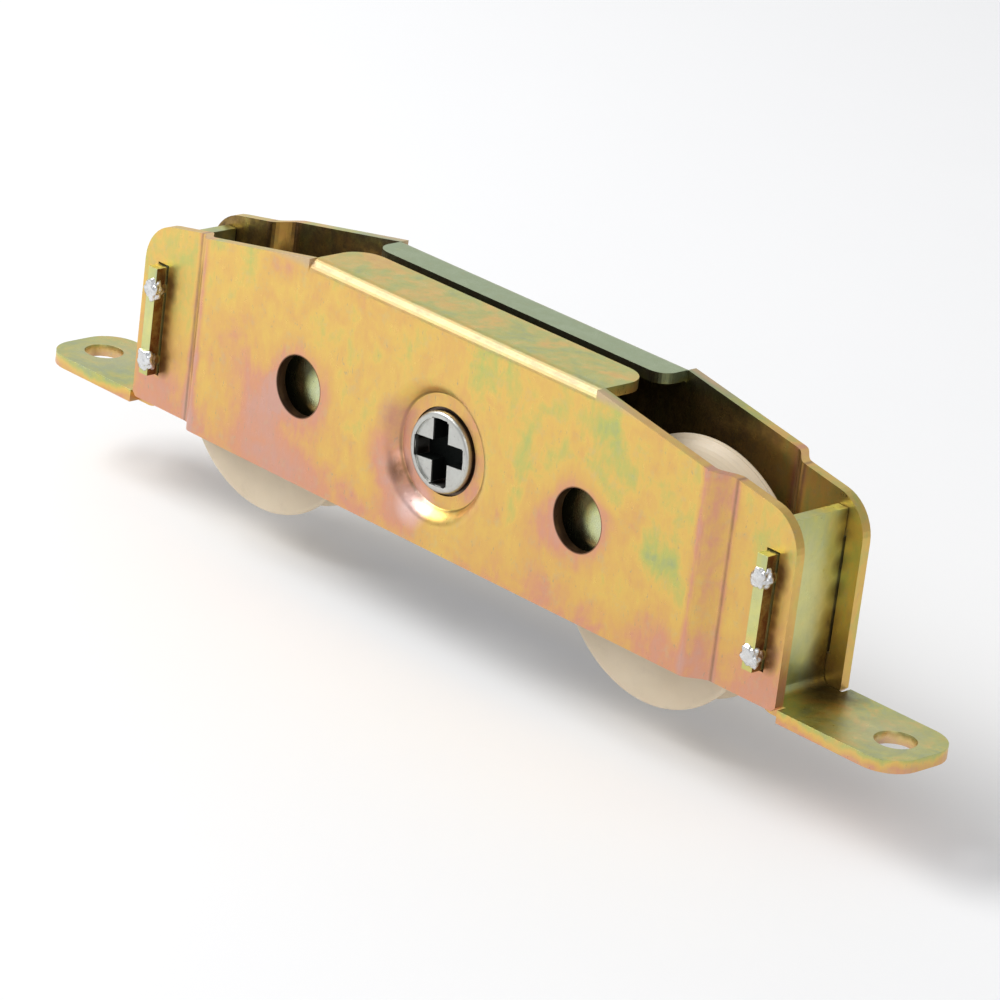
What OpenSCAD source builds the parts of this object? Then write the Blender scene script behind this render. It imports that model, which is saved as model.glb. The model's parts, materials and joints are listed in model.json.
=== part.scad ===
// Twin-wheel sliding door roller with a central height-adjusting cam.
// Millimetres. X runs along the roller, -Y is the side with the screw head, +Z is up.
// z = 0 is the line where both wheels stand on the track. The wheels are drawn raised.

/* [Side plates] */
// width across the outer faces of the two side plates
housing_w = 14.6; // [12:0.05:20]
// thickness of the side plate and carriage sheet
sheet = 1.2; // [1:0.1:1.6]
// half the length of a side plate
plate_half = 50; // [48:0.5:60]
// height of the bottom edge of the side plates
plate_z0 = 7; // [6:0.1:9]
// height of the folded top of the side plates
plate_top = 32.45; // [31:0.1:36]
// half the length of the folded top
flange_half = 22; // [18:0.5:26]
// outer bend radius of the folded top
bend_r = 1.5; // [1.4:0.1:3]
// reach of the front plate's fold across the top
front_reach = 8.05; // [6:0.1:9.5]
// reach of the back plate's fold across the top
back_reach = 5; // [3:0.05:5.4]
// corner radius at the front fold's free corners
front_corner_r = 3.2; // [1:0.1:4]
// corner radius at the back fold's free corners
back_corner_r = 2; // [1:0.1:3]
// fall of the sloping top edge for each millimetre of length
edge_slope = 0.18; // [0.1:0.002:0.25]
// corner radius at the plate ends
end_corner_r = 4.8; // [2:0.1:7]
// distance from the middle where the plates start to step inwards
joggle_x0 = 38.3; // [37:0.1:42]
// distance from the middle where the inward step ends
joggle_x1 = 40.9; // [40:0.1:45]
// depth of the inward step at the plate ends
joggle_d = 1.8; // [1:0.02:2.4]

/* [Side holes and dish] */
// distance of each side hole from the middle
side_hole_x = 21.6; // [18:0.1:25]
// height of the side holes
side_hole_z = 17.95; // [15:0.05:20]
// radius of the side holes
side_hole_r = 3.45; // [2:0.05:5]
// height of the adjusting cam's axis
cam_z = 17.75; // [16:0.1:20]
// depth of the pressed dish around the cam
dish_d = 1.4; // [1:0.05:1.8]
// outer radius of the dish's flat ring
dish_ring_r = 6.3; // [5.5:0.1:7]
// radius where the dish meets the flat plate
dish_r = 8.2; // [8:0.1:10]

/* [Adjusting cam] */
// radius of the cam's two journals
journal_r = 4.8; // [4:0.05:4.85]
// running clearance of every turning fit, on the radius
run_gap = 0.05; // [0.02:0.01:0.1]
// radius of the screw head
head_r = 4.5; // [3.5:0.05:4.7]
// distance of the screw head's face from the middle plane
head_y = 6.73; // [6:0.01:7.2]
// radius of the eccentric
ecc_r = 6.1; // [5.5:0.1:6.5]
// offset of the eccentric from the cam's axis
ecc_offset = 1.25; // [0.5:0.05:1.3]
// width of the cross recess slots
cross_w = 2.3; // [1:0.1:2.5]
// tip-to-tip length of the cross recess
cross_len = 7.4; // [5:0.1:7.6]
// depth of the cross recess
cross_d = 2.2; // [1:0.1:4]
// turn of the cross recess about the cam's axis in degrees
cross_turn = -5; // [-45:1:45]

/* [Wheels] */
// wheel radius
wheel_r = 14; // [12:0.1:15]
// distance of each axle from the middle
axle_x = 30; // [28:0.1:32]
// half the width of a wheel
wheel_half_w = 3.3; // [3:0.05:3.5]
// radius of the concave tread, seen in section
groove_r = 3; // [2.4:0.1:4]
// radius of the axle
axle_r = 2.5; // [2:0.05:3]
// radius of the bearing's outer race
race_outer_r = 7; // [6.5:0.1:8]
// half the width of the bearing
race_half_w = 2.5; // [2:0.05:2.5]
// number of balls in a bearing
ball_count = 7; // [6:1:8]
// ball radius
ball_r = 1.15; // [1:0.05:1.2]

/* [End brackets] */
// thickness of the bracket sheet
bracket_t = 1.4; // [1.2:0.1:2]
// distance of the upright's outer face from the middle
web_x = 47.6; // [47:0.1:49]
// height of the upright's top edge
web_top = 26.6; // [24:0.1:28]
// height of the foot's upper face
foot_z = 7.43; // [7:0.01:9]
// distance of the foot's tip from the middle
ear_tip_x = 66; // [62:0.5:75]
// half the width of the foot outside the plates
ear_half_w = 5.5; // [5:0.1:7]
// distance of the screw hole from the middle
ear_hole_x = 61.55; // [58:0.05:70]
// radius of the screw hole, for an M4 screw
ear_hole_r = 2.25; // [2:0.05:3]

/* [Hidden] */
$fn = 96;
over = 1;                               // overlap used when cutting
half_w = housing_w / 2;                 // outer face of a side plate
end_y = half_w - joggle_d;              // outer face of a stepped-in plate end
bend_in = bend_r - sheet;               // inner radius of the fold
ring_y = half_w - dish_d;               // outer face of the dish's flat ring
pivot_z = cam_z + ecc_offset;           // carriage pivot with the wheels raised
plate_chamfer = 0.5;                    // chamfer at a plate's lower corners

// wheel
rim_round = 0.35;                       // roundness of each wheel rim
groove_d = 1.5;                         // depth of the concave tread
groove_angle = 58;                      // half the angle of the tread's arc
seat_chamfer = 0.3;                     // chamfer on the wheel's bearing seat

// cam and bush, measured from the middle plane
ecc_half = 4.3;                         // half the length of the eccentric
ecc_join = 0.2;                         // how far a journal runs into the eccentric
journal_end = ring_y - 0.32;            // outer end of a journal
back_end_y = 6.4;                       // end of the cam on the back
head_edge = 0.45;                       // roundness of the screw head's edge
head_cup_r = 3.75;                      // shallow cup in the screw head
head_cup_d = 0.25;                      // depth of the cup
end_chamfer = 0.25;                     // chamfer on the cam's back end
centre_mark = 0.8;                      // radius and depth of the turning centre
bush_t = 1.35;                          // wall of the pivot bush
bush_r = ecc_r + run_gap + bush_t;      // outside of the bush in the carriage bores
bush_half = 4.2;                        // half the length of the bush
collar_r = 8.8;                         // collar that keeps the bush between the cheeks
collar_half = 2.8;                      // half the width of the collar
cam_washer_t = 0.28;                    // thickness of a cam washer
cam_washer_r = 5.9;                     // outside of a cam washer
cam_washer_y = ecc_half + 0.04;         // inner face of a cam washer

// carriage, measured from the middle plane
cheek_y = 5.2;                          // outer face of a cheek beside the wheels
waist_y = 4.1;                          // outer face of a cheek beside the cam
waist_x0 = 11;                          // end of the narrow waist
waist_x1 = 14;                          // start of the wide wheel fork
bridge_half = 10.5;                     // half the length of the bridge over the cam
bridge_top = 29.6;                      // height of the bridge
bridge_chamfer = 2;                     // corner cut beside the bridge
shoulder_z = 24.5;                      // height of the cheek where it narrows
carriage_z0 = 9;                        // height of the carriage's bottom edge
cheek_past_axle = 5;                    // reach of a cheek beyond the axle
cheek_cut = 2.5;                        // corner cut at the cheek's lower end
cheek_crown = 6;                        // reach of a cheek above the axle
rivet_r = 3.5;                          // peened head of an axle
rivet_t = 0.4;                          // height of a peened head

// bearing, measured from the wheel's middle
pitch_r = 4.8;                          // radius through the ball centres
inner_land_r = 4;                       // outside of the inner race
outer_land_r = 5.6;                     // bore of the outer race
ball_gap = 0.03;                        // gap between a ball and its track
cage_half_t = 0.35;                     // half the radial thickness of the cage
cage_half_w = 1.5;                      // half the width of the cage
pocket_gap = 0.07;                      // gap round a ball in its cage pocket
shield_y0 = 2.12;                       // inner face of a shield
shield_y1 = 2.38;                       // outer face of a shield
shield_gap = 0.2;                       // gap between a shield and the inner race

// bracket
web_half = end_y - sheet - 0.1;         // half the width of the upright
tab_z0 = 10.8;                          // bottom of a tab
tab_z1 = 23.4;                          // top of a tab
tab_y = 7.05;                           // end face of a tab
slot_gap = 0.2;                         // gap round a tab in its slot
web_bend = 1;                           // inner radius of the bracket's bend
foot_wide_x = 50.35;                    // where the foot widens outside the plates
ear_corner_r = 3.9;                     // corner radius of the foot's tip
stake_z = [12.5, 20.9];                 // heights of the peened marks on a tab
stake_r = 0.95;                         // radius of a peened mark at its base
stake_taper = 0.7;                      // width of a mark's tip against its base
stake_y0 = end_y + 0.04;                // a peened mark starts just off the plate
stake_y1 = half_w - 0.02;               // end of a peened mark

plating = [0.83, 0.68, 0.36];
plating_inside = [0.72, 0.62, 0.34];
bright_steel = [0.75, 0.76, 0.77];
ball_steel = [0.68, 0.69, 0.71];
nylon = [0.80, 0.74, 0.64];
acetal = [0.20, 0.20, 0.20];
cage_brass = [0.70, 0.56, 0.30];

function ease(t) = t <= 0 ? 0 : t >= 1 ? 1 : t * t * (3 - 2 * t);
function arc(cx, cy, r, a0, a1, n) =
  [for (i = [0:n]) [cx + r * cos(a0 + (a1 - a0) * i / n), cy + r * sin(a0 + (a1 - a0) * i / n)]];

// a flat XZ outline given thickness along Y
module slab_y(y0, y1)
  translate([0, y1, 0]) rotate([90, 0, 0]) linear_extrude(height = y1 - y0) children();

// a round bar along Y at x, z
module rod_y(x, z, r, y0, y1)
  translate([x, y0, z]) rotate([-90, 0, 0]) cylinder(r = r, h = y1 - y0);

// a profile of radius against y, turned about a Y axis at x, z
module turn_y(x, z, profile)
  translate([x, 0, z]) rotate([-90, 0, 0]) rotate_extrude() polygon(profile);

module ring_y_at(x, z, r0, r1, y0, y1)
  turn_y(x, z, [[r0, y0], [r1, y0], [r1, y1], [r0, y1]]);

module box_from(p, q)
  translate(p) cube([q[0] - p[0], q[1] - p[1], q[2] - p[2]]);

// height of the sloping top edge, and the centre of a plate's end corner
function edge_top(x) = plate_top - edge_slope * (x - flange_half);
corner_cx = plate_half - end_corner_r;
corner_cz = edge_top(corner_cx) - end_corner_r * sqrt(1 + edge_slope * edge_slope);
edge_angle = 90 - atan(edge_slope);

// half outline of a side plate, from the middle of the bottom to the middle of the top
function plate_half_outline() = concat(
  [[0, plate_z0], [plate_half - plate_chamfer, plate_z0], [plate_half, plate_z0 + plate_chamfer]],
  arc(corner_cx, corner_cz, end_corner_r, 0, edge_angle, 10),
  [[flange_half, plate_top], [flange_half, plate_top - bend_r], [0, plate_top - bend_r]]);

module mirrored_outline(points) {
  polygon(points);
  mirror([1, 0]) polygon(points);
}

// distance of a stepped sheet's outer face from the middle plane
function step_face(x, x0, x1, y_in, y_out) = y_in + (y_out - y_in) * ease((x - x0) / (x1 - x0));

function stepped_strip(x0, x1, y_a, y_b, x_end, t) =
  let (xs = concat([0], [for (i = [0:8]) x0 + (x1 - x0) * i / 8], [x_end]),
       outer = [for (x = xs) [x, step_face(x, x0, x1, y_a, y_b)]],
       inner = [for (i = [len(xs) - 1:-1:0]) [xs[i], step_face(xs[i], x0, x1, y_a, y_b) - t]])
  concat(outer, inner);

module stepped_sheet(x0, x1, y_a, y_b, x_end, t, z0, z1)
  translate([0, 0, z0]) linear_extrude(height = z1 - z0)
    mirrored_outline(stepped_strip(x0, x1, y_a, y_b, x_end, t));

// depth of the pressed dish at a radius from the cam's axis
function dish_depth(r) =
  r <= dish_ring_r ? dish_d : dish_d * pow((dish_r - r) / (dish_r - dish_ring_r), 2);

module dish(bore) {
  radii = concat([bore], [for (i = [0:8]) dish_ring_r + (dish_r - dish_ring_r) * i / 8]);
  turn_y(0, cam_z, concat(
    [for (r = radii) [r, half_w - dish_depth(r)]],
    [for (i = [len(radii) - 1:-1:0]) [radii[i], half_w - sheet - dish_depth(radii[i])]]));
}

// the fold across the top, with rounded free corners
module top_fold(reach, corner_r) {
  y_free = half_w - reach;
  y_bend = half_w - bend_r;
  translate([0, 0, plate_top - sheet]) linear_extrude(height = sheet)
    mirrored_outline(concat(
      [[0, y_bend], [0, y_free]],
      arc(flange_half - corner_r, y_free + corner_r, corner_r, -90, 0, 8),
      [[flange_half, y_bend]]));
  translate([-flange_half, 0, 0]) rotate([90, 0, 90]) linear_extrude(height = 2 * flange_half)
    polygon(concat(
      arc(y_bend, plate_top - bend_r, bend_r, 0, 90, 8),
      arc(y_bend, plate_top - bend_r, bend_in, 90, 0, 8)));
}

// one side plate on the +Y side; the front one is its mirror image with a longer fold
module side_plate(reach, corner_r) {
  difference() {
    intersection() {
      stepped_sheet(joggle_x0, joggle_x1, half_w, end_y, plate_half + over, sheet,
        plate_z0 - over, plate_top + over);
      slab_y(0, half_w + over) mirrored_outline(plate_half_outline());
    }
    rod_y(0, cam_z, dish_r, 0, half_w + over);
    for (s = [-1, 1]) {
      rod_y(s * side_hole_x, side_hole_z, side_hole_r, 0, half_w + over);
      box_from([s * (web_x - bracket_t / 2) - bracket_t / 2 - slot_gap, 0, tab_z0 - slot_gap],
        [s * (web_x - bracket_t / 2) + bracket_t / 2 + slot_gap, half_w + over, tab_z1 + slot_gap]);
    }
  }
  dish(journal_r + run_gap);
  top_fold(reach, corner_r);
}

module front_side_plate() color(plating) mirror([0, 1, 0]) side_plate(front_reach, front_corner_r);
module back_side_plate() color(plating) side_plate(back_reach, back_corner_r);

// the right-hand bracket; the left one is its mirror image
module end_bracket() {
  web_in = web_x - bracket_t;
  bend_cx = web_x + web_bend;
  bend_cz = foot_z + web_bend;
  box_from([web_in, -web_half, bend_cz], [web_x, web_half, web_top]);
  slab_y(-web_half, web_half) polygon(concat(
    arc(bend_cx, bend_cz, web_bend, 180, 270, 8),
    arc(bend_cx, bend_cz, web_bend + bracket_t, 270, 180, 8)));
  difference() {
    translate([0, 0, foot_z - bracket_t]) linear_extrude(height = bracket_t) polygon(concat(
      [[bend_cx, web_half], [bend_cx, -web_half], [foot_wide_x, -web_half], [foot_wide_x, -ear_half_w]],
      arc(ear_tip_x - ear_corner_r, -ear_half_w + ear_corner_r, ear_corner_r, -90, 0, 8),
      arc(ear_tip_x - ear_corner_r, ear_half_w - ear_corner_r, ear_corner_r, 0, 90, 8),
      [[foot_wide_x, ear_half_w], [foot_wide_x, web_half]]));
    translate([ear_hole_x, 0, foot_z - bracket_t - over])
      cylinder(r = ear_hole_r, h = bracket_t + 2 * over);
  }
  box_from([web_in, -tab_y, tab_z0], [web_x, tab_y, tab_z1]);
  for (s = [-1, 1], z = stake_z)
    scale([1, s, 1]) translate([web_x - bracket_t / 2, stake_y0, z]) rotate([-90, 0, 0])
      cylinder(r1 = stake_r, r2 = stake_taper * stake_r, h = stake_y1 - stake_y0);
}

module right_end_bracket() color(plating) end_bracket();
module left_end_bracket() color(plating) mirror([1, 0, 0]) end_bracket();

module adjusting_cam() color(bright_steel) {
  difference() {
    turn_y(0, cam_z, concat(
      [[0, head_cup_d - head_y], [head_cup_r, head_cup_d - head_y], [head_cup_r, -head_y]],
      arc(head_r - head_edge, head_edge - head_y, head_edge, -90, 0, 6),
      [[head_r, -journal_end], [journal_r, -journal_end], [journal_r, ecc_join - ecc_half],
       [0, ecc_join - ecc_half]]));
    translate([0, -head_y + cross_d, cam_z]) rotate([0, cross_turn, 0]) {
      box_from([-cross_len / 2, -cross_d - over, -cross_w / 2], [cross_len / 2, 0, cross_w / 2]);
      box_from([-cross_w / 2, -cross_d - over, -cross_len / 2], [cross_w / 2, 0, cross_len / 2]);
    }
  }
  rod_y(0, pivot_z, ecc_r, -ecc_half, ecc_half);
  turn_y(0, cam_z, [[0, ecc_half - ecc_join], [journal_r, ecc_half - ecc_join],
    [journal_r, journal_end], [head_r, journal_end], [head_r, back_end_y - end_chamfer],
    [head_r - end_chamfer, back_end_y], [centre_mark, back_end_y], [0, back_end_y - centre_mark]]);
}

module cam_washer(y0, y1) ring_y_at(0, cam_z, journal_r + run_gap, cam_washer_r, y0, y1);
module front_cam_washer() color(ball_steel)
  cam_washer(-cam_washer_y - cam_washer_t, -cam_washer_y);
module back_cam_washer() color(ball_steel)
  cam_washer(cam_washer_y, cam_washer_y + cam_washer_t);

module pivot_bush() color(acetal)
  turn_y(0, pivot_z, [[ecc_r + run_gap, -bush_half], [bush_r, -bush_half], [bush_r, -collar_half],
    [collar_r, -collar_half], [collar_r, collar_half], [bush_r, collar_half], [bush_r, bush_half],
    [ecc_r + run_gap, bush_half]]);

// half outline of a carriage cheek
function cheek_half_outline() =
  let (end_x = axle_x + cheek_past_axle)
  [[0, carriage_z0], [end_x - cheek_cut, carriage_z0], [end_x, carriage_z0 + cheek_cut],
   [end_x, wheel_r + cheek_cut], [axle_x + cheek_cut, wheel_r + cheek_crown],
   [waist_x1 + bridge_chamfer, shoulder_z], [bridge_half + bridge_chamfer, bridge_top - bridge_chamfer],
   [bridge_half, bridge_top], [0, bridge_top]];

module cheek() {
  difference() {
    intersection() {
      stepped_sheet(waist_x0, waist_x1, waist_y, cheek_y, axle_x + cheek_past_axle + over, sheet,
        carriage_z0 - over, bridge_top + over);
      slab_y(0, cheek_y + over) mirrored_outline(cheek_half_outline());
    }
    rod_y(0, pivot_z, bush_r + run_gap, 0, cheek_y + over);
    for (s = [-1, 1]) rod_y(s * axle_x, wheel_r, axle_r, 0, cheek_y + over);
  }
}

module wheel_carriage() color(plating_inside) {
  cheek();
  mirror([0, 1, 0]) cheek();
  box_from([-bridge_half, -waist_y + sheet / 2, bridge_top - sheet],
    [bridge_half, waist_y - sheet / 2, bridge_top]);
}

module axle(x) color(bright_steel)
  turn_y(x, wheel_r, concat(
    [[0, -cheek_y - rivet_t], [rivet_r - rivet_t, -cheek_y - rivet_t], [rivet_r, -cheek_y],
     [axle_r, -cheek_y], [axle_r, cheek_y], [rivet_r, cheek_y]],
    [[rivet_r - rivet_t, cheek_y + rivet_t], [0, cheek_y + rivet_t]]));

// wheel profile from the bearing seat out to the concave tread
module wheel(x) color(nylon)
  turn_y(x, wheel_r, concat(
    [[race_outer_r, seat_chamfer - wheel_half_w], [race_outer_r + seat_chamfer, -wheel_half_w]],
    arc(wheel_r - rim_round, rim_round - wheel_half_w, rim_round, -90, 45, 4),
    arc(wheel_r - groove_d + groove_r, 0, groove_r, 180 + groove_angle, 180 - groove_angle, 12),
    arc(wheel_r - rim_round, wheel_half_w - rim_round, rim_round, -45, 90, 4),
    [[race_outer_r + seat_chamfer, wheel_half_w], [race_outer_r, wheel_half_w - seat_chamfer]]));

module race_track(x)
  translate([x, 0, wheel_r]) rotate([-90, 0, 0]) rotate_extrude()
    translate([pitch_r, 0]) circle(r = ball_r + ball_gap);

module outer_race(x) color(ball_steel) difference() {
  ring_y_at(x, wheel_r, outer_land_r, race_outer_r, -race_half_w, race_half_w);
  race_track(x);
}

module inner_race(x) color(ball_steel) difference() {
  ring_y_at(x, wheel_r, axle_r, inner_land_r, -race_half_w, race_half_w);
  race_track(x);
}

module bearing_balls(x) color(ball_steel)
  for (i = [0:ball_count - 1])
    translate([x, 0, wheel_r]) rotate([0, i * 360 / ball_count, 0])
      translate([pitch_r, 0, 0]) sphere(r = ball_r, $fn = 32);

module ball_cage(x) color(cage_brass) difference() {
  ring_y_at(x, wheel_r, pitch_r - cage_half_t, pitch_r + cage_half_t, -cage_half_w, cage_half_w);
  for (i = [0:ball_count - 1])
    translate([x, 0, wheel_r]) rotate([0, i * 360 / ball_count, 0]) rotate([0, 90, 0])
      cylinder(r = ball_r + pocket_gap, h = race_outer_r, $fn = 48);
}

module shield(x, y0, y1) color(bright_steel)
  ring_y_at(x, wheel_r, inner_land_r + shield_gap, outer_land_r, y0, y1);
module spacer(x, y0, y1) color(bright_steel) ring_y_at(x, wheel_r, axle_r, inner_land_r, y0, y1);

module left_axle() axle(-axle_x);
module right_axle() axle(axle_x);
module left_wheel() wheel(-axle_x);
module right_wheel() wheel(axle_x);
module left_outer_race() outer_race(-axle_x);
module right_outer_race() outer_race(axle_x);
module left_inner_race() inner_race(-axle_x);
module right_inner_race() inner_race(axle_x);
module left_bearing_balls() bearing_balls(-axle_x);
module right_bearing_balls() bearing_balls(axle_x);
module left_ball_cage() ball_cage(-axle_x);
module right_ball_cage() ball_cage(axle_x);
module left_front_shield() shield(-axle_x, -shield_y1, -shield_y0);
module left_back_shield() shield(-axle_x, shield_y0, shield_y1);
module right_front_shield() shield(axle_x, -shield_y1, -shield_y0);
module right_back_shield() shield(axle_x, shield_y0, shield_y1);
module left_front_spacer() spacer(-axle_x, sheet - cheek_y, -race_half_w);
module left_back_spacer() spacer(-axle_x, race_half_w, cheek_y - sheet);
module right_front_spacer() spacer(axle_x, sheet - cheek_y, -race_half_w);
module right_back_spacer() spacer(axle_x, race_half_w, cheek_y - sheet);

front_side_plate();
back_side_plate();
left_end_bracket();
right_end_bracket();
adjusting_cam();
front_cam_washer();
back_cam_washer();
pivot_bush();
wheel_carriage();
left_axle();
right_axle();
left_wheel();
right_wheel();
left_outer_race();
right_outer_race();
left_inner_race();
right_inner_race();
left_bearing_balls();
right_bearing_balls();
left_ball_cage();
right_ball_cage();
left_front_shield();
left_back_shield();
right_front_shield();
right_back_shield();
left_front_spacer();
left_back_spacer();
right_front_spacer();
right_back_spacer();
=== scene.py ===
import json
import math
import random

import bmesh
import bpy
from mathutils import Matrix, Vector, noise


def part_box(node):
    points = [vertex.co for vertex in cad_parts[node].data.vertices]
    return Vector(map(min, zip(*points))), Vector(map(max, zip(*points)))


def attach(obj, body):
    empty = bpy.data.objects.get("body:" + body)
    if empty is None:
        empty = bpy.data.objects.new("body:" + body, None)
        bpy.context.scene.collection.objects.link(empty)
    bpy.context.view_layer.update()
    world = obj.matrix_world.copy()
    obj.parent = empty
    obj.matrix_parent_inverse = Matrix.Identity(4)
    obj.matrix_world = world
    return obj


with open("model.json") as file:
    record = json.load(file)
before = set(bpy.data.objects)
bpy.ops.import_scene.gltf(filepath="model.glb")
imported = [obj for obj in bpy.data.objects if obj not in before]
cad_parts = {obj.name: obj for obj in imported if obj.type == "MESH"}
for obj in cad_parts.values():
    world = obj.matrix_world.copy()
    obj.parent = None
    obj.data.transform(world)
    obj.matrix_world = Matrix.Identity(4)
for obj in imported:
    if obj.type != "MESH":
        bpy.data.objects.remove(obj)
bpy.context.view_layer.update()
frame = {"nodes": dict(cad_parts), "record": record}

MM = 0.001
NODES = frame["nodes"]
X, Y, Z = range(3)
BOTH = (-1, 1)
NOISE_SPAN = (0.3, 0.7)
ABOUT_Y = (1.0, 0.0, 1.0)


# ---------------------------------------------------------------- node helpers
class Tree:
    """A small wrapper that adds and joins shader nodes."""

    def __init__(self, name):
        self.material = bpy.data.materials.new(name)
        self.material.use_nodes = True
        self.tree = self.material.node_tree
        self.shader = self.tree.nodes["Principled BSDF"]
        self.texture = self.add("ShaderNodeTexCoord")
        self.coords = self.texture.outputs["Object"]

    def add(self, kind, **settings):
        node = self.tree.nodes.new(kind)
        for key, value in settings.items():
            setattr(node, key, value)
        return node

    def link(self, source, target):
        self.tree.links.new(source, target)

    def put(self, target, value):
        if isinstance(value, bpy.types.NodeSocket):
            self.link(value, target)
        else:
            target.default_value = value

    def math(self, operation, a, b=0.0):
        node = self.add("ShaderNodeMath", operation=operation)
        self.put(node.inputs[0], a)
        self.put(node.inputs[1], b)
        return node.outputs[0]

    def scaled(self, scale):
        """Object coordinates times a scale per axis, in 1/mm."""
        node = self.add("ShaderNodeMapping")
        self.link(self.coords, node.inputs["Vector"])
        if not hasattr(scale, "__len__"):
            scale = (scale,) * 3
        node.inputs["Scale"].default_value = [s / MM for s in scale]
        return node.outputs["Vector"]

    def noise(self, scale, detail=4.0, rough=0.55, distortion=0.0, shift=0.0):
        node = self.add("ShaderNodeTexNoise")
        vector = self.scaled(scale)
        if shift:
            moved = self.add("ShaderNodeVectorMath", operation="ADD")
            self.link(vector, moved.inputs[0])
            moved.inputs[1].default_value = (shift, shift * 0.7, -shift)
            vector = moved.outputs[0]
        self.link(vector, node.inputs["Vector"])
        node.inputs["Scale"].default_value = 1.0
        node.inputs["Detail"].default_value = detail
        node.inputs["Roughness"].default_value = rough
        node.inputs["Distortion"].default_value = distortion
        return node.outputs["Fac"]

    def remap(self, value, low, high, out_low=0.0, out_high=1.0):
        node = self.add("ShaderNodeMapRange")
        self.link(value, node.inputs["Value"])
        node.inputs["From Min"].default_value = low
        node.inputs["From Max"].default_value = high
        node.inputs["To Min"].default_value = out_low
        node.inputs["To Max"].default_value = out_high
        return node.outputs["Result"]

    def spread(self, value, low, high):
        """A noise value, with its usual span stretched to run from low to high."""
        return self.remap(value, *NOISE_SPAN, low, high)

    def ramp(self, value, stops):
        node = self.add("ShaderNodeValToRGB")
        self.link(value, node.inputs["Fac"])
        ramp = node.color_ramp
        while len(ramp.elements) < len(stops):
            ramp.elements.new(0.5)
        for element, (place, colour) in zip(ramp.elements, stops):
            element.position = place
            element.color = (*colour, 1.0)
        return node.outputs["Color"]

    def mix(self, factor, a, b):
        node = self.add("ShaderNodeMix", data_type="RGBA")
        self.put(node.inputs["Factor"], factor)
        sockets = [s for s in node.inputs if s.type == "RGBA"]
        self.put(sockets[0], a if isinstance(a, bpy.types.NodeSocket) else (*a, 1.0))
        self.put(sockets[1], b if isinstance(b, bpy.types.NodeSocket) else (*b, 1.0))
        return [s for s in node.outputs if s.type == "RGBA"][0]

    def distance(self, point_mm, weights=(1.0, 1.0, 1.0)):
        """Distance in mm from a point given in mm, with the axes weighted."""
        away = self.add("ShaderNodeVectorMath", operation="SUBTRACT")
        self.link(self.scaled(1.0), away.inputs[0])
        away.inputs[1].default_value = point_mm
        scaled = self.add("ShaderNodeVectorMath", operation="MULTIPLY")
        self.link(away.outputs[0], scaled.inputs[0])
        scaled.inputs[1].default_value = weights
        length = self.add("ShaderNodeVectorMath", operation="LENGTH")
        self.link(scaled.outputs[0], length.inputs[0])
        return length.outputs["Value"]

    def axis(self, index):
        split = self.add("ShaderNodeSeparateXYZ")
        self.link(self.scaled(1.0), split.inputs[0])
        return split.outputs[index]

    def normal(self, index):
        """One component of the surface normal, in the piece's own axes."""
        split = self.add("ShaderNodeSeparateXYZ")
        self.link(self.texture.outputs["Normal"], split.inputs[0])
        return split.outputs[index]

    def bump(self, heights, distance_mm=0.05, strength=1.0):
        node = self.add("ShaderNodeBump")
        self.link(heights, node.inputs["Height"])
        node.inputs["Distance"].default_value = distance_mm * MM
        node.inputs["Strength"].default_value = strength
        self.link(node.outputs["Normal"], self.shader.inputs["Normal"])


# ------------------------------------------------------------------- materials
# zinc chromate film, from thin to thick
TEAL = (0.33, 0.40, 0.23)
LIME = (0.50, 0.50, 0.15)
GOLD = (0.73, 0.49, 0.135)
AMBER = (0.70, 0.42, 0.14)
ROSE = (0.66, 0.32, 0.20)
MAUVE = (0.60, 0.34, 0.27)
# drips and nicks on the film, worn pale bends, painted highlights, painted light and painted
# shade
DRIP = (0.56, 0.52, 0.34)
NICK = (0.33, 0.33, 0.24)
# painted shade: the dark line in the pressed ring's crease and along the joggle's crease
CREASE_SHADE = (0.16, 0.12, 0.05)
# painted shade: dark brown on tab sides, on the plate beside the tabs and on the dish's left
GAP_SHADE = (0.17, 0.075, 0.025)
# painted shade: inside the housing, on faces turned down, on hole walls and in the web's corners
INSIDE_SHADE = (0.07, 0.040, 0.020)
# painted shade over the carriage, everywhere but its lit spots
UNLIT_SHADE = (0.030, 0.022, 0.014)
# worn plating along a fold's bend, paled further as a painted highlight
WORN_HIGHLIGHT = (0.64, 0.49, 0.31)
# painted highlight: the pink-white glint low on the dish's slope
PINK_HIGHLIGHT = (0.84, 0.60, 0.56)
# painted shade: the dark mauve on the dish's left wall
MAUVE_SHADE = (0.52, 0.23, 0.20)
# painted light: a pale lime patch that lightens the middle of each web
LIT_LIME = (0.80, 0.77, 0.36)
# painted light: the lit crescent on the carriage behind each side hole
LIT_TEAL = (0.66, 0.72, 0.52)
# marks on bare steel and on plastic, and painted shade on the cam
PIT_GREY = (0.26, 0.25, 0.24)
# painted shade: near-black in the cam's cross socket
SOCKET_SHADE = (0.012, 0.014, 0.013)
# painted shade: dark brown on the cam head's side and on the shank behind it
SHANK_SHADE = (0.075, 0.045, 0.030)
TRACK_GRIME = (0.33, 0.27, 0.20)

FILM_METALLIC = 0.92
# how much painted shade covers the carriage away from its lit spots
UNLIT_SHADE_COVER = 0.88
RUBBED_ROUGHNESS = 0.26
# distances along X between which the inside's painted shade fades, and its strength at each
INSIDE_SHADE_FADE = (30.0, 44.0, 0.90, 0.12)
SCATTER_RADIUS = (0.0012, 0.0008, 0.0005)


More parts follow.
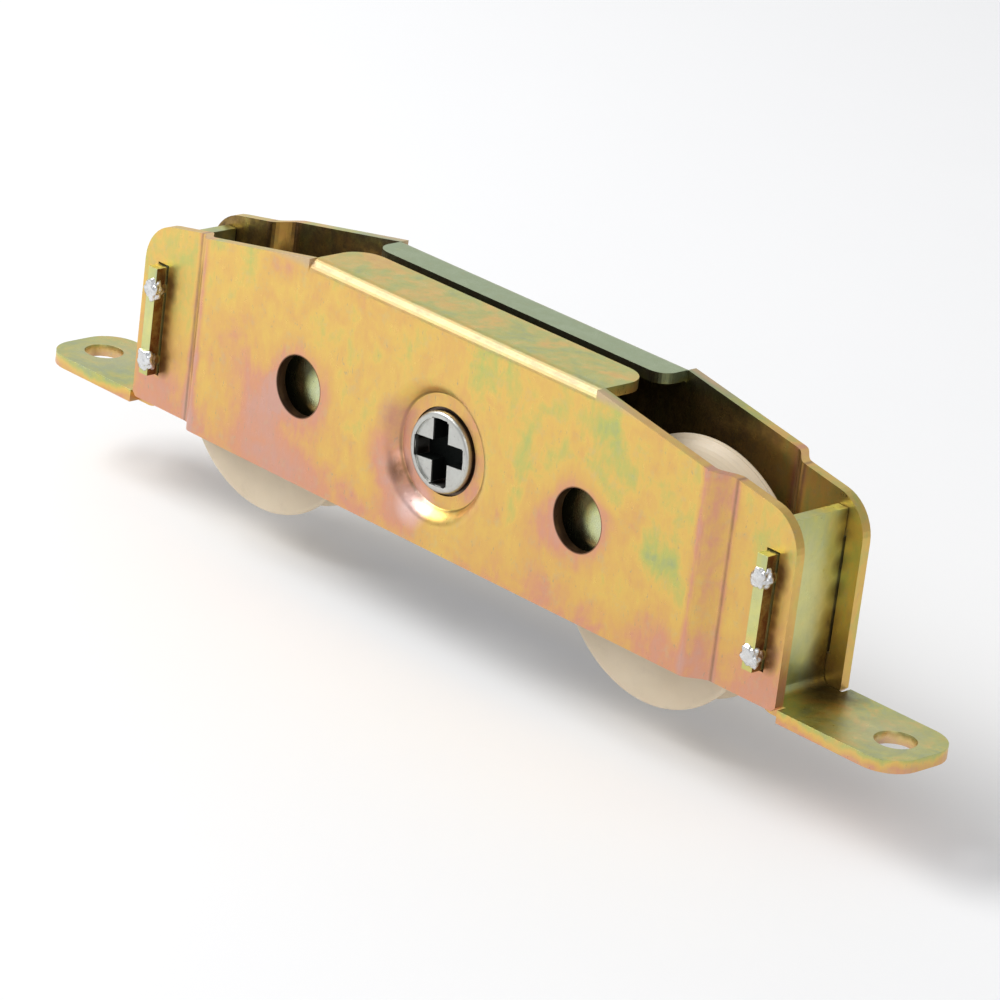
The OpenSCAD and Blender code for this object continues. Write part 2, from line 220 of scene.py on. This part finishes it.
def chromate(name, bias=0.0, seed=0.0, halos=(), lines=(), low_edge=None, ring=None, patches=(),
             bend=None, inner=None, tab_sides=None, crease=None, bores=(), lit_spots=(), rough=0.34):
    """Yellow zinc chromate plating: bands of interference colour over soft metal.

    All places are in mm. halos are (centre, reach, gain), and lines are (axis, place, reach,
    gain) on both sides of the middle. low_edge is (height, reach, gain) of the thicker film along
    a bottom edge, and ring is (centre, radius, gain) of a pressed ring about a Y axis, with a
    line of painted shade in its crease. patches is a list of (centre, reach, strength, colour)
    spots of drip colour, painted light or painted shade, and bend is (distance, height) past
    which a fold's edge is worn pale, a colour that is also a painted highlight. inner is the Y
    direction that the inside faces; faces turned that way or turned down get painted shade.
    tab_sides is the distance past which a tab's sides get painted shade, and crease is the
    distance along X of a dark line of painted shade. bores is a list of (centre, radius) of holes
    whose walls get painted shade.
    lit_spots is a list of (centre, reach) of the only spots that painted shade leaves lit.
    """
    t = Tree(name)
    broad = t.noise(0.05, detail=2.0, distortion=0.8, shift=3.1 + seed)
    runs = t.noise((0.16, 0.16, 0.05), detail=3.0, distortion=1.4, shift=7.7 + seed)
    blotch = t.noise(0.30, detail=5.0, rough=0.6, distortion=0.6, shift=15.0 + seed)
    fine = t.noise((1.1, 1.1, 0.45), detail=6.0, rough=0.7, shift=1.3 + seed)
    film = t.math("ADD", t.spread(broad, 0.35, 0.53), bias)
    film = t.math("ADD", film, t.spread(runs, -0.09, 0.12))
    film = t.math("ADD", film, t.spread(blotch, -0.11, 0.11))
    film = t.math("ADD", film, t.spread(fine, -0.06, 0.06))
    for centre, reach, gain in halos:
        ragged = t.math("ADD", t.distance(centre), t.spread(blotch, -0.2 * reach, 0.2 * reach))
        film = t.math("ADD", film, t.remap(ragged, reach, 0.25 * reach, 0.0, gain))
    for index, place, reach, gain in lines:
        away = t.math("ABSOLUTE", t.math("SUBTRACT", t.math("ABSOLUTE", t.axis(index)), place))
        film = t.math("ADD", film, t.remap(away, reach, 0.0, 0.0, gain))
    if low_edge:
        height, reach, gain = low_edge
        wobble = t.math("ADD", t.axis(Z), t.spread(runs, -0.6 * reach, 0.6 * reach))
        film = t.math("ADD", film, t.remap(wobble, height + reach, height, 0.0, gain))
    if ring:
        centre, radius, gain = ring
        from_axis = t.distance(centre, ABOUT_Y)
        film = t.math("ADD", film, t.remap(from_axis, radius, radius - 0.15, 0.0, gain))
    colour = t.ramp(film, [(0.04, TEAL), (0.26, LIME), (0.44, GOLD), (0.60, AMBER),
                           (0.76, ROSE), (0.94, MAUVE)])
    cloud = t.noise(0.7, detail=5.0, rough=0.7, shift=11.0 + seed)
    colour = t.mix(t.remap(cloud, 0.55, 0.78, 0.0, 0.4), colour, DRIP)
    nicks = t.noise((2.6, 2.6, 1.2), detail=3.0, rough=0.65, shift=5.0 + seed)
    colour = t.mix(t.remap(nicks, 0.64, 0.74, 0.0, 0.55), colour, NICK)
    patchy = t.remap(cloud, 0.25, 0.6, 0.6, 1.0)
    # painted shade: a dark line in the crease just outside the pressed ring
    if ring:
        gap = t.math("ABSOLUTE", t.math("SUBTRACT", from_axis, radius + 0.12))
        colour = t.mix(t.remap(gap, 0.16, 0.03, 0.0, 0.6), colour, CREASE_SHADE)
    # painted shade: a dark line along the joggle's crease
    if crease:
        gap = t.math("ABSOLUTE", t.math("SUBTRACT", t.math("ABSOLUTE", t.axis(X)), crease))
        painted_shade = t.math("MULTIPLY", patchy, t.remap(gap, 0.3, 0.05, 0.0, 0.55))
        colour = t.mix(painted_shade, colour, CREASE_SHADE)
    worn_highlight = 0.0
    # a worn band along the fold's bend, whose pale colour is also a painted highlight
    if bend:
        distance, height = bend
        outward = t.remap(t.math("ABSOLUTE", t.axis(Y)), distance, distance + 0.8)
        worn_highlight = t.math("MULTIPLY", outward, t.remap(t.axis(Z), height, height + 0.8))
        colour = t.mix(t.math("MULTIPLY", worn_highlight, patchy), colour, WORN_HIGHLIGHT)
    # spots of drip colour, painted light or painted shade
    for centre, reach, strength, tint in patches:
        near = t.remap(t.distance(centre), reach, 0.3 * reach, 0.0, strength)
        colour = t.mix(t.math("MULTIPLY", near, patchy), colour, tint)
    # painted shade on the walls of the holes
    for centre, radius in bores:
        from_bore = t.distance(centre, ABOUT_Y)
        painted_shade = t.remap(from_bore, radius + 0.16, radius + 0.06, 0.0, 0.8)
        colour = t.mix(painted_shade, colour, INSIDE_SHADE)
    # painted shade over everything but the lit spots, which keep their colour as painted light
    if lit_spots:
        bright = 0.0
        for centre, reach in lit_spots:
            bright = t.math("MAXIMUM", bright, t.remap(t.distance(centre), reach, 0.6 * reach))
        unlit_shade = t.math("MULTIPLY", t.math("SUBTRACT", 1.0, bright), UNLIT_SHADE_COVER)
        colour = t.mix(unlit_shade, colour, UNLIT_SHADE)
    # painted shade on faces turned inward or down, fading along X
    if inner:
        facing = t.remap(t.math("MULTIPLY", t.normal(Y), inner), 0.6, 0.9)
        under = t.remap(t.normal(Z), -0.6, -0.9)
        hidden = t.math("MAXIMUM", facing, under)
        depth = t.remap(t.axis(X), *INSIDE_SHADE_FADE)
        painted_shade = t.math("MULTIPLY", t.math("MULTIPLY", hidden, depth), patchy)
        colour = t.mix(painted_shade, colour, INSIDE_SHADE)
    # painted shade on the side faces of a tab, beyond the plate
    if tab_sides:
        sideways = t.remap(t.math("ABSOLUTE", t.normal(X)), 0.6, 0.9)
        outside = t.remap(t.math("ABSOLUTE", t.axis(Y)), tab_sides, tab_sides + 0.2)
        painted_shade = t.math("MULTIPLY", t.math("MULTIPLY", sideways, outside), patchy)
        colour = t.mix(painted_shade, colour, GAP_SHADE)
    t.link(colour, t.shader.inputs["Base Color"])
    t.shader.inputs["Metallic"].default_value = FILM_METALLIC
    scratch = t.noise((7.0, 7.0, 0.6), detail=3.0, rough=0.7, shift=2.0 + seed)
    gloss = t.math("ADD", t.spread(cloud, rough - 0.07, rough + 0.10),
                   t.spread(scratch, -0.05, 0.06))
    gloss = t.math("ADD", gloss, t.math("MULTIPLY", worn_highlight, RUBBED_ROUGHNESS))
    t.link(gloss, t.shader.inputs["Roughness"])
    rise = t.math("ADD", t.math("MULTIPLY", cloud, 1.2), t.math("MULTIPLY", scratch, 0.25))
    rise = t.math("SUBTRACT", rise, t.remap(nicks, 0.62, 0.74, 0.0, 0.5))
    t.bump(rise, 0.03, 0.6)
    return t.material


def bare_steel(name, colour, rough, seed=0.0, stain=(0.45, 0.44, 0.42), recess=None, shank=None):
    """Bright steel with handling marks.

    recess is (centre, radius, start, end) of a socket darkened with painted shade, and shank is
    (start, full, end) of the length behind the head darkened with painted shade, as distances
    along Y behind the centre.
    """
    t = Tree(name)
    cloud = t.noise(0.9, detail=5.0, rough=0.65, shift=4.0 + seed)
    grit = t.noise(3.5, detail=4.0, rough=0.7, shift=9.0 + seed)
    shade = t.mix(t.remap(cloud, 0.35, 0.75, 0.0, 0.6), colour, stain)
    shade = t.mix(t.remap(grit, 0.60, 0.72, 0.0, 0.5), shade, PIT_GREY)
    gloss = t.spread(grit, rough - 0.06, rough + 0.12)
    # painted shade filling the socket below its cup
    if recess:
        centre, radius, *depths = recess
        shallow, bottom = (centre[1] + value for value in depths)
        inside = t.remap(t.distance(centre, ABOUT_Y), radius, radius - 0.1, 0.0, 1.0)
        deep = t.remap(t.axis(Y), shallow, shallow + 0.12)
        deep = t.math("MULTIPLY", deep, t.remap(t.axis(Y), bottom + 0.3, bottom))
        shaded_socket = t.math("MULTIPLY", inside, deep)
        shade = t.mix(shaded_socket, shade, SOCKET_SHADE)
        gloss = t.math("ADD", gloss, t.math("MULTIPLY", shaded_socket, 0.35))
    # painted shade on the head's side and the shank behind it
    if shank:
        start, full, end = (centre[1] + value for value in shank)
        shaded_shank = t.math("SUBTRACT", 1.0, inside)
        shaded_shank = t.math("MULTIPLY", shaded_shank, t.remap(t.axis(Y), start, full, 0.0, 0.92))
        shaded_shank = t.math("MULTIPLY", shaded_shank, t.remap(t.axis(Y), end, end - 0.4))
        shade = t.mix(shaded_shank, shade, SHANK_SHADE)
    t.link(shade, t.shader.inputs["Base Color"])
    t.shader.inputs["Metallic"].default_value = 1.0
    t.link(gloss, t.shader.inputs["Roughness"])
    t.bump(t.math("ADD", grit, t.math("MULTIPLY", cloud, 0.5)), 0.03, 0.7)
    return t.material


def moulded(name, colour, dark, rough, seed=0.0, glow=0.0, grime=0.2):
    """Moulded plastic: soft mottling, fine texture and a little track grime."""
    t = Tree(name)
    cloud = t.noise(0.12, detail=3.0, shift=2.5 + seed)
    grain = t.noise(4.0, detail=4.0, rough=0.6, shift=6.0 + seed)
    smear = t.noise((0.5, 1.5, 0.5), detail=5.0, rough=0.7, shift=8.0 + seed)
    shade = t.mix(t.spread(cloud, 0.0, 1.0), colour, dark)
    shade = t.mix(t.remap(smear, 0.55, 0.8, 0.0, grime), shade, TRACK_GRIME)
    t.link(shade, t.shader.inputs["Base Color"])
    t.link(t.spread(grain, rough - 0.06, rough + 0.08), t.shader.inputs["Roughness"])
    if glow:
        t.shader.inputs["Subsurface Weight"].default_value = glow
        t.shader.inputs["Subsurface Radius"].default_value = SCATTER_RADIUS
    t.bump(t.math("ADD", grain, t.math("MULTIPLY", smear, 0.6)), 0.02, 0.4)
    return t.material


PLATE_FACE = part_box("front_side_plate")[0][1] / MM
PLATE_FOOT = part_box("front_side_plate")[0][2] / MM
JOINTS = {joint["name"]: joint for joint in frame["record"]["behaviour"]["joints"]}
CAM_Z = JOINTS["cam_turn"]["pos_m"][2] / MM
SCREW_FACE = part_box("adjusting_cam")[0][1] / MM
CAM_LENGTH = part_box("adjusting_cam")[1][1] / MM - SCREW_FACE
EAR_MOUNT = next(m for m in frame["record"]["mounts"] if m["name"] == "left_ear_face")
FOOT_TOP = EAR_MOUNT["pos_m"][2] / MM
PLATE_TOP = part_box("front_side_plate")[1][2] / MM
HOLE_X, HOLE_Z, HOLE_R = 21.6, 17.95, 3.45
# the joggle's middle and crease along X, and how far it sets the plate's ends in
JOGGLE_X, CREASE_X, JOGGLE_DEPTH = 39.6, 41.0, 1.8
PLATE_END_FACE = PLATE_FACE + JOGGLE_DEPTH
TAB_MIDDLE_X = 46.9
TAB_CLEARANCE = 1.7
BEND_BAND = 1.3
CHEEK_Y = 5.2
WEB_FACE = 47.6
SOCKET_R, CUP_DEPTH, SOCKET_DEPTH = 3.75, 0.35, 3.0

plate_halos = [((s * HOLE_X, PLATE_FACE, HOLE_Z), 6.2, 0.48) for s in BOTH]
plate_halos += [((-7.0, PLATE_FACE, CAM_Z - 2.5), 4.5, 0.40),
                ((-4.5, PLATE_FACE, CAM_Z - 6.5), 5.0, 0.34)]
plate_halos += [((-27.0, PLATE_FACE, 11.0), 9.0, 0.20), ((-33.0, PLATE_FACE, 20.0), 6.0, 0.12)]
plate_halos += [((s * 47.0, PLATE_END_FACE, 12.0), 8.0, 0.20) for s in BOTH]
# thicker and thinner patches of the front plate's film, as x, z, reach and gain
STAINS = ((-25.8, 15.0, 4.5, 0.18), (-26.5, 10.0, 6.0, 0.12), (-21.0, 9.0, 5.0, 0.12),
          (16.8, 16.0, 4.0, 0.18), (18.0, 10.5, 5.0, 0.14), (33.5, 9.5, 5.0, 0.14),
          (6.0, 28.5, 4.0, -0.16), (26.5, 25.5, 5.5, -0.12), (33.0, 18.5, 4.0, -0.14))
plate_halos += [((x, PLATE_FACE, z), reach, gain) for x, z, reach, gain in STAINS]
JOGGLE_LINES = [(X, JOGGLE_X, 2.4, 0.18), (X, JOGGLE_X - 1.4, 0.7, 0.22),
                (X, JOGGLE_X + 1.5, 0.6, 0.20)]
FRONT_TOP_LINE = (Z, PLATE_TOP, 1.5, -0.17)
BACK_TOP_LINE = (Z, PLATE_TOP, 2.4, -0.55)
DISH_RING = ((0.0, PLATE_FACE, CAM_Z), 6.3, 0.17)
BEND = (-PLATE_FACE - BEND_BAND, PLATE_TOP - BEND_BAND)
# painted light on the dish's slope: a pink highlight low down, mauve shade on the left and a dark
# spot between
DISH_LIGHT_AND_SHADE = [((-2.6, PLATE_FACE + 0.5, CAM_Z - 7.0), 2.7, 0.85, PINK_HIGHLIGHT),
             ((-6.5, PLATE_FACE + 0.6, CAM_Z + 1.6), 3.2, 0.75, MAUVE_SHADE),
             ((-5.6, PLATE_FACE + 0.7, CAM_Z - 3.9), 1.7, 0.75, GAP_SHADE)]
# painted shade on the plate beside each tab, near its peened marks and along its edge
TAB_SHADE = [((s * TAB_MIDDLE_X + 1.35, PLATE_END_FACE, height), 1.5, 0.85, GAP_SHADE)
              for s in BOTH for height in (11.8, 13.0, 20.5, 21.8)]
TAB_SHADE += [((s * TAB_MIDDLE_X + 1.0, PLATE_END_FACE, height), 1.0, 0.7, GAP_SHADE)
               for s in BOTH for height in (14.5, 16.0, 17.5, 19.0)]
SIDE_HOLES = [((s * HOLE_X, PLATE_FACE, HOLE_Z), HOLE_R) for s in BOTH]
# painted light: a lit spot on each face of the carriage behind each side hole, set off to where
# the camera sees the lit crescent through the hole, with painted shade around it
WINDOW_SHIFT = (1.9, 0.65)
WINDOW_SPOTS = [(s * HOLE_X + face * WINDOW_SHIFT[0], -face * CHEEK_Y, HOLE_Z - WINDOW_SHIFT[1])
                for s in BOTH for face in BOTH]
WINDOW_REACH = 3.2
# height and reach of the painted shade up the corner between web and plate
CORNER_SHADE = ((9.5, 4.0), (11.5, 3.0), (14.5, 2.2), (17.5, 1.8), (20.5, 1.6), (23.5, 1.6),
               (25.8, 1.6))
# painted light: a pale patch in the middle of each web
web_patches = [((s * WEB_FACE, -1.2, 17.5), 11.0, 0.75, LIT_LIME) for s in BOTH]
web_patches += [((s * WEB_FACE, 4.3, height), reach, 0.8, INSIDE_SHADE)
                for s in BOTH for height, reach in CORNER_SHADE]
# painted shadow on the foot next to the web
web_patches += [((s * (WEB_FACE + 2.6), 2.6, FOOT_TOP), 4.6, 0.85, INSIDE_SHADE) for s in BOTH]
web_patches += [((s * 60.0, 0.0, FOOT_TOP), 7.0, 0.45, DRIP) for s in BOTH]
front_look = chromate("front_chromate", 0.03, 0.0, plate_halos, JOGGLE_LINES + [FRONT_TOP_LINE],
                      (PLATE_FOOT, 5.0, 0.20), DISH_RING, DISH_LIGHT_AND_SHADE + TAB_SHADE, BEND, inner=1.0,
                      crease=CREASE_X, bores=SIDE_HOLES)
back_look = chromate("back_chromate", -0.03, 4.0, [], JOGGLE_LINES + [BACK_TOP_LINE],
                     (PLATE_FOOT, 5.0, 0.18), DISH_RING, [], BEND, inner=-1.0,
                     crease=CREASE_X, bores=SIDE_HOLES)
bracket_look = chromate("bracket_chromate", -0.26, 8.0, low_edge=(6.2, 1.2, 0.50),
                        patches=web_patches, tab_sides=-PLATE_FACE - TAB_CLEARANCE)
carriage_look = chromate("carriage_chromate", -0.20, 12.0, rough=0.22,
                         patches=[(spot, WINDOW_REACH, 0.6, LIT_TEAL) for spot in WINDOW_SPOTS],
                         lit_spots=[(spot, WINDOW_REACH) for spot in WINDOW_SPOTS])
SOCKET = ((0.0, SCREW_FACE, CAM_Z), SOCKET_R, CUP_DEPTH, SOCKET_DEPTH)
SHANK = (0.45, 0.75, CAM_LENGTH - 0.3)
cam_look = bare_steel("cam_steel", (0.54, 0.55, 0.52), 0.34, recess=SOCKET, shank=SHANK)
stake_look = bare_steel("stake_steel", (0.74, 0.75, 0.76), 0.28, 17.0)
axle_look = bare_steel("axle_steel", (0.60, 0.60, 0.60), 0.3, 3.0)
washer_look = bare_steel("washer_steel", (0.55, 0.55, 0.55), 0.35, 5.0)
race_look = bare_steel("race_steel", (0.62, 0.63, 0.64), 0.2, 7.0)
ball_look = bare_steel("ball_steel", (0.76, 0.76, 0.77), 0.1, 9.0)
shield_look = bare_steel("shield_steel", (0.56, 0.57, 0.58), 0.3, 11.0)
cage_look = bare_steel("cage_brass", (0.62, 0.44, 0.18), 0.35, 13.0, stain=(0.4, 0.27, 0.12))
nylon_look = moulded("wheel_nylon", (0.70, 0.59, 0.43), (0.62, 0.51, 0.36), 0.42, glow=0.12)
acetal_look = moulded("bush_acetal", (0.03, 0.03, 0.03), (0.045, 0.043, 0.04), 0.4, 20.0)

LOOKS = {
    "front_side_plate": front_look, "back_side_plate": back_look,
    "left_end_bracket": bracket_look, "right_end_bracket": bracket_look,
    "adjusting_cam": cam_look, "front_cam_washer": washer_look, "back_cam_washer": washer_look,
    "pivot_bush": acetal_look, "wheel_carriage": carriage_look,
}
SIDE_LOOKS = {
    "axle": axle_look, "wheel": nylon_look, "outer_race": race_look, "inner_race": race_look,
    "bearing_balls": ball_look, "ball_cage": cage_look, "front_shield": shield_look,
    "back_shield": shield_look, "front_spacer": washer_look, "back_spacer": washer_look,
}
for side in ("left", "right"):
    for part, look in SIDE_LOOKS.items():
        LOOKS[side + "_" + part] = look

for name, look in LOOKS.items():
    mesh = NODES[name].data
    mesh.materials.clear()
    mesh.materials.append(look)


# -------------------------------------------------------------- softened edges
WELD_GAP = 0.002
FLAT_ANGLE, EDGE_ANGLE = 0.6, 30.0
SHEET_EDGE, CAM_EDGE = 0.14, 0.12


def soften(name, width_mm):
    """Rounds a node's sheared or moulded edges."""
    piece = NODES[name]
    weld = piece.modifiers.new("weld", "WELD")
    weld.merge_threshold = WELD_GAP * MM
    flat = piece.modifiers.new("merge_flats", "DECIMATE")
    flat.decimate_type = "DISSOLVE"
    flat.angle_limit = math.radians(FLAT_ANGLE)
    edge = piece.modifiers.new("edges", "BEVEL")
    edge.width = width_mm * MM
    edge.segments = 2
    edge.limit_method = "ANGLE"
    edge.angle_limit = math.radians(EDGE_ANGLE)
    edge.harden_normals = True


for name in ("front_side_plate", "back_side_plate", "left_end_bracket", "right_end_bracket",
             "wheel_carriage"):
    soften(name, SHEET_EDGE)
soften("adjusting_cam", CAM_EDGE)

# ---------------------------------------------------------------- peened marks
MARK_HEIGHTS = (12.5, 20.9)
MARK_SIZE = (1.15, 1.0, 1.25)
MARK_TOP = 0.62
MARK_DEPTH = -PLATE_FACE - 0.60
# pitch and height of the lumps on a mark
COARSE_LUMPS, FINE_LUMPS = (1.6, 0.34), (3.6, 0.16)


def peened_mark(name, centre, outward, seed):
    """A lump of tab metal that a punch spread over the edge of its slot."""
    chance = random.Random(seed)
    drift = Vector([chance.uniform(-40.0, 40.0) for _ in range(3)])
    mesh = bpy.data.meshes.new(name)
    lump = bmesh.new()
    bmesh.ops.create_icosphere(lump, subdivisions=4, radius=1.0)
    for vert in lump.verts:
        rough = sum(noise.noise(vert.co * pitch + drift) * gain
                    for pitch, gain in (COARSE_LUMPS, FINE_LUMPS))
        point = vert.co * (1.0 + rough)
        point = Vector([value * size for value, size in zip(point, MARK_SIZE)])
        flat_top = MARK_TOP + 0.12 * noise.noise(point * 2.5 + drift)
        if point.y > flat_top:
            point.y = flat_top + 0.18 * (point.y - flat_top)
        point.y *= outward
        vert.co = (Vector(centre) + point) * MM
    bmesh.ops.recalc_face_normals(lump, faces=lump.faces)
    lump.to_mesh(mesh)
    lump.free()
    mesh.shade_smooth()
    mesh.materials.append(stake_look)
    mark = bpy.data.objects.new(name, mesh)
    bpy.context.scene.collection.objects.link(mark)
    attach(mark, "housing")


for side, x_sign in zip(("left", "right"), BOTH):
    for face, outward in zip(("front", "back"), BOTH):
        for level_name, height in zip(("low", "high"), MARK_HEIGHTS):
            spot = (x_sign * TAB_MIDDLE_X, outward * MARK_DEPTH, height)
            peened_mark(f"peened_mark_{side}_{face}_{level_name}", spot, outward,
                        f"{side} {face} {level_name}")

# ------------------------------------------------------------- camera and light
AZIMUTH, ELEVATION, ROLL = 43.558, 20.801, 7.122
DISTANCE = 0.57254
LENS_MM, SENSOR_MM, CLIP_END = 193.94, 36.0, 20.0
AIM_RIGHT, AIM_UP, AIM_HEIGHT = 0.001465, -0.00821, 0.020

az, el, roll = (math.radians(v) for v in (AZIMUTH, ELEVATION, ROLL))
back = Vector((math.sin(az) * math.cos(el), -math.cos(az) * math.cos(el), math.sin(el)))
level = Vector((math.cos(az), math.sin(az), 0.0))
upright = back.cross(level)
right = level * math.cos(roll) + upright * math.sin(roll)
up = upright * math.cos(roll) - level * math.sin(roll)

camera_data = bpy.data.cameras.new("camera")
camera_data.lens = LENS_MM
camera_data.sensor_width = SENSOR_MM
camera_data.clip_end = CLIP_END
camera = bpy.data.objects.new("camera", camera_data)
bpy.context.scene.collection.objects.link(camera)
place = right * AIM_RIGHT + up * AIM_UP + back * DISTANCE + Vector((0, 0, AIM_HEIGHT))
turn = Matrix((right, up, back)).transposed().to_4x4()
camera.matrix_world = Matrix.Translation(place) @ turn
bpy.context.scene.camera = camera


def softbox(name, direction, distance, size, power):
    """An area light of width and height size, in metres, that faces the origin."""
    data = bpy.data.lights.new(name, "AREA")
    data.shape = "RECTANGLE"
    data.size, data.size_y = size
    data.energy = power
    lamp = bpy.data.objects.new(name, data)
    bpy.context.scene.collection.objects.link(lamp)
    away = Vector(direction).normalized()
    facing = away.to_track_quat("Z", "Y").to_matrix().to_4x4()
    lamp.matrix_world = Matrix.Translation(away * distance) @ facing


softbox("key", (-0.62, -0.42, 0.72), 0.7, (0.50, 0.36), 4.0)
softbox("fill", (0.75, -0.6, 0.5), 0.9, (0.6, 0.6), 1.6)
softbox("top_sheet", (-0.64, 0.68, 0.36), 0.95, (1.3, 0.6), 1.05)

SKY_COLOUR, SKY_STRENGTH = (0.96, 0.97, 1.0, 1.0), 0.50
world = bpy.data.worlds.new("studio")
world.use_nodes = True
bpy.context.scene.world = world
sky = world.node_tree.nodes["Background"]
sky.inputs["Color"].default_value = SKY_COLOUR
sky.inputs["Strength"].default_value = SKY_STRENGTH
bpy.context.scene.view_settings.view_transform = "Standard"

FLOOR_SIZE = 4.0
floor_mesh = bpy.data.meshes.new("floor")
bm = bmesh.new()
bmesh.ops.create_grid(bm, x_segments=1, y_segments=1, size=FLOOR_SIZE)
bm.to_mesh(floor_mesh)
bm.free()
floor = bpy.data.objects.new("floor", floor_mesh)
ROCK = JOINTS["carriage_rock"]
cam_drop = 2.0 * (ROCK["pos_m"][2] - JOINTS["cam_turn"]["pos_m"][2])
rock_drop = JOINTS["right_wheel_spin"]["pos_m"][0] * math.sin(math.radians(ROCK["range_deg"][1]))
# below the wheels at the joints' limits, so that no pose puts one through it
FLOOR_GAP = 0.0004
floor.location.z = -cam_drop - rock_drop - FLOOR_GAP
bpy.context.scene.collection.objects.link(floor)
ground = Tree("floor_paper")
tone = ground.noise(0.02, detail=3.0)
PAPER, PAPER_LIGHT = (0.90, 0.90, 0.90), (0.92, 0.92, 0.915)
ground.link(ground.mix(tone, PAPER, PAPER_LIGHT), ground.shader.inputs["Base Color"])
ground.shader.inputs["Roughness"].default_value = 0.8
floor_mesh.materials.append(ground.material)
